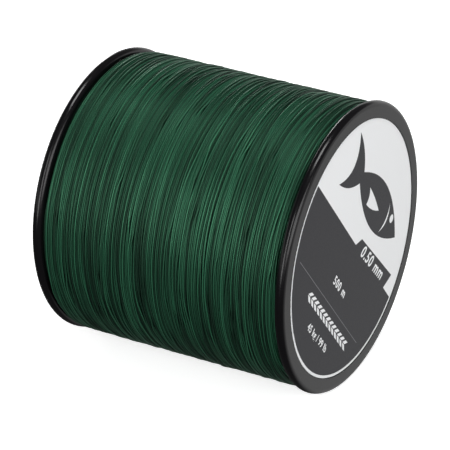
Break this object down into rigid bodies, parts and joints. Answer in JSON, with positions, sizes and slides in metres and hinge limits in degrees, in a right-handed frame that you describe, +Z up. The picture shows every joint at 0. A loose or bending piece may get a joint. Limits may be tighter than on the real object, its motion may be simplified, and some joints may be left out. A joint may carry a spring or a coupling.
{
  "type": "fishing line spool",
  "caption": "Flanged plastic spool of braided fishing line, with a wide drum, rounded rims, a spindle bore and a printed label on each flange.",
  "frame": {"origin": "on the spindle axis, midway between the two flanges; the spool lies on its rims, which touch the floor 42.5 mm below", "axes": "+X along the spindle axis towards the front label, +Z up"},
  "size_m": [0.081, 0.085, 0.085],
  "materials": {
    "spool_plastic": "satin black ABS, moulded",
    "label_film": "printed white film, satin",
    "label_ink": "dark grey print",
    "tape": "cream paper tape",
    "braided_line": "dark green coated braid, slight sheen"
  },
  "bodies": {
    "root": {"front_flange_half": "spool_plastic", "rear_flange_half": "spool_plastic", "front_label": "label_film", "rear_label": "label_film", "arbor_tape": "tape", "inner_winding": "braided_line", "outer_winding": "braided_line", "tail_tape": "tape"}
  },
  "joints": []
}
